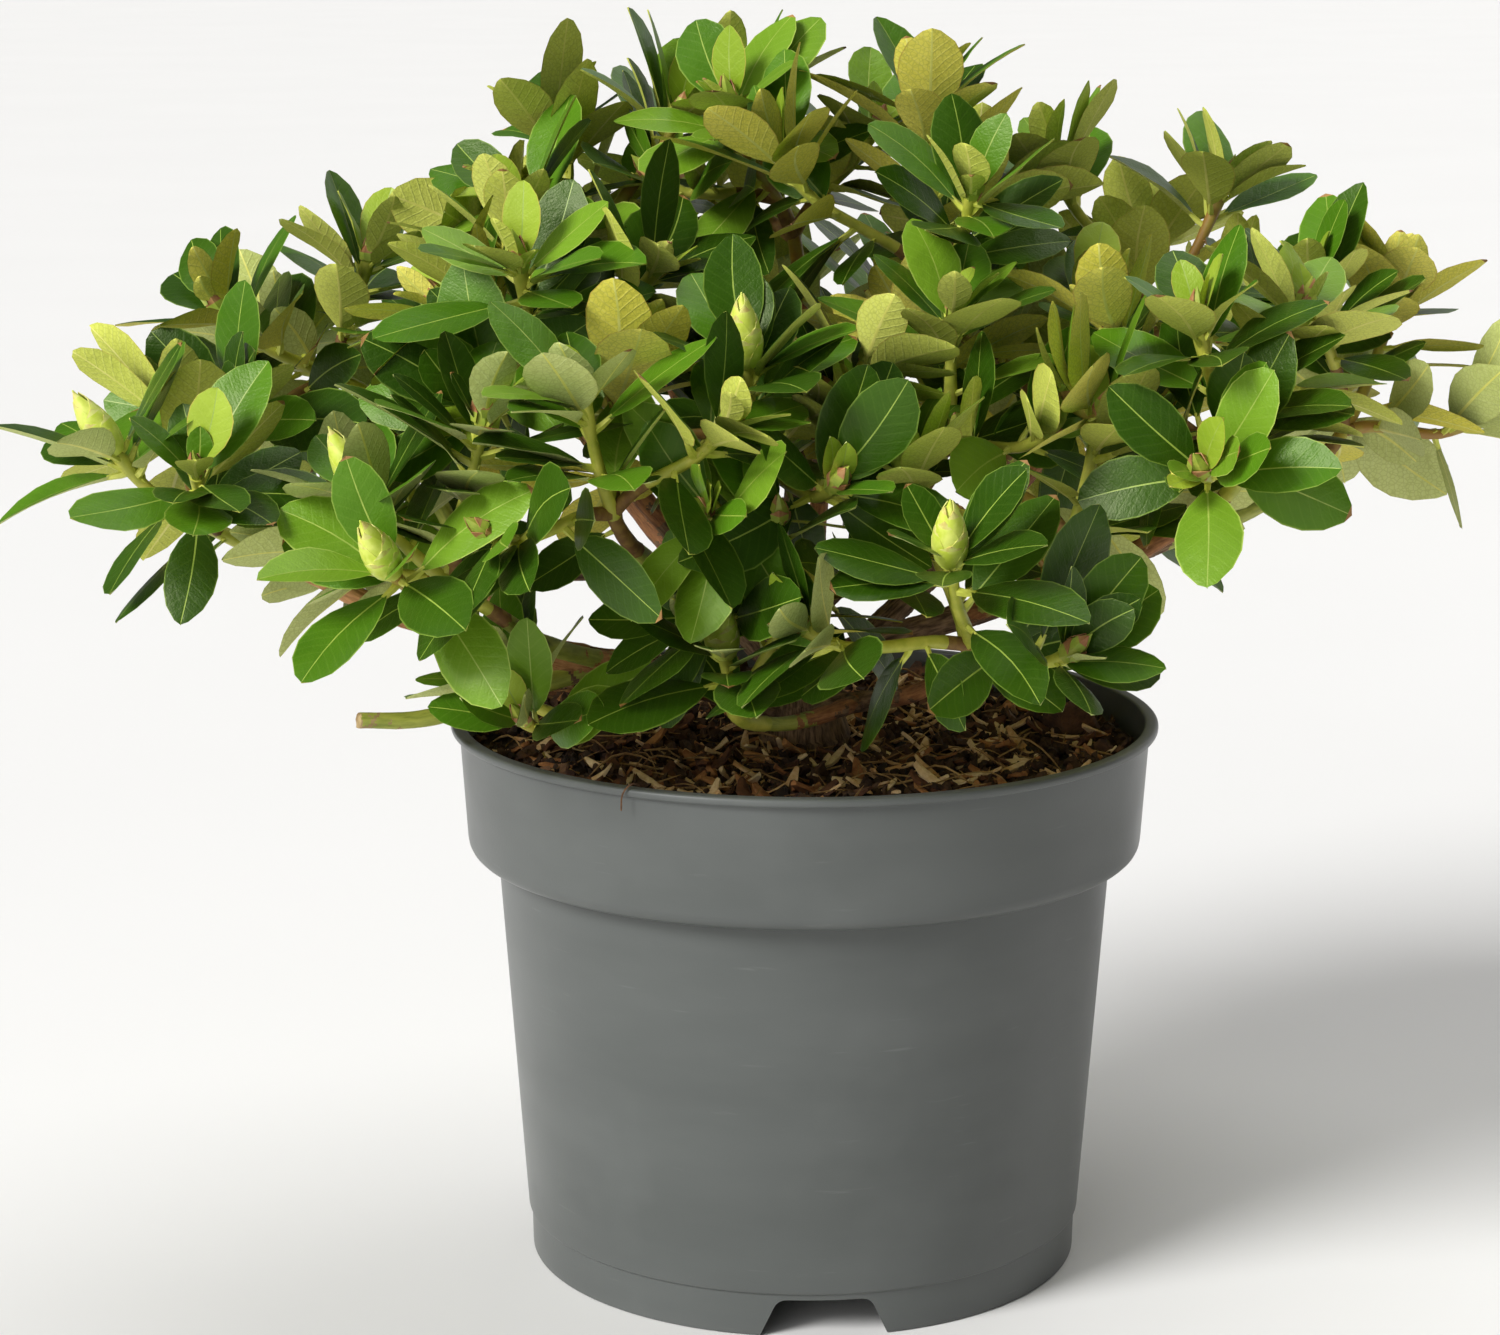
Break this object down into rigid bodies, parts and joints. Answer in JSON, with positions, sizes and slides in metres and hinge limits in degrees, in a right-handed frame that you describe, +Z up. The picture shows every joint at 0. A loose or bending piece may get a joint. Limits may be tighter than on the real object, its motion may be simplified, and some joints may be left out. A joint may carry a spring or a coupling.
{
  "type": "potted rhododendron",
  "caption": "Low evergreen shrub with whorls of leathery leaves and pale buds on forking stems, in a round grey nursery pot of soil.",
  "frame": {"origin": "on the floor, under the middle of the pot and of the crown", "axes": "+Z up, +X to the right and -Y towards the viewer as in the picture"},
  "size_m": [0.4977, 0.3224, 0.4027],
  "materials": {
    "pot_plastic": "satin grey injection-moulded plastic",
    "soil": "dark loose compost with bark chips",
    "bark": "rough brown bark",
    "leaf": "glossy dark green above, matt yellow-green below"
  },
  "bodies": {
    "root": {"pot": "pot_plastic", "soil": "soil", "trunk": "bark", "bough_left": "bark", "bough_left_front": "bark", "bough_left_high": "bark", "bough_left_low": "bark", "bough_pruned_stub": "bark", "bough_left_mid": "bark", "bough_front_left": "bark", "bough_crown_left": "bark", "bough_crown_top": "bark", "bough_crown_right": "bark", "bough_centre_front": "bark", "bough_mid_front": "bark", "bough_red": "bark", "bough_front": "bark", "bough_low_front": "bark", "bough_right": "bark", "bough_right_mid": "bark", "bough_right_far": "bark", "bough_back_right": "bark", "bough_inner_right": "bark", "bough_back": "bark", "bough_back_left": "bark", "bough_back_low_left": "bark", "bough_back_low_right": "bark", "foliage_left": "leaf", "foliage_left_front": "leaf", "foliage_left_high": "leaf", "foliage_left_low": "leaf", "foliage_left_mid": "leaf", "foliage_front_left": "leaf", "foliage_crown_left": "leaf", "foliage_crown_top": "leaf", "foliage_crown_right": "leaf", "foliage_centre_front": "leaf", "foliage_mid_front": "leaf", "foliage_red": "leaf", "foliage_front": "leaf", "foliage_low_front": "leaf", "foliage_right": "leaf", "foliage_right_mid": "leaf", "foliage_right_far": "leaf", "foliage_back_right": "leaf", "foliage_inner_right": "leaf", "foliage_back": "leaf", "foliage_back_left": "leaf", "foliage_back_low_left": "leaf", "foliage_back_low_right": "leaf"}
  },
  "joints": []
}
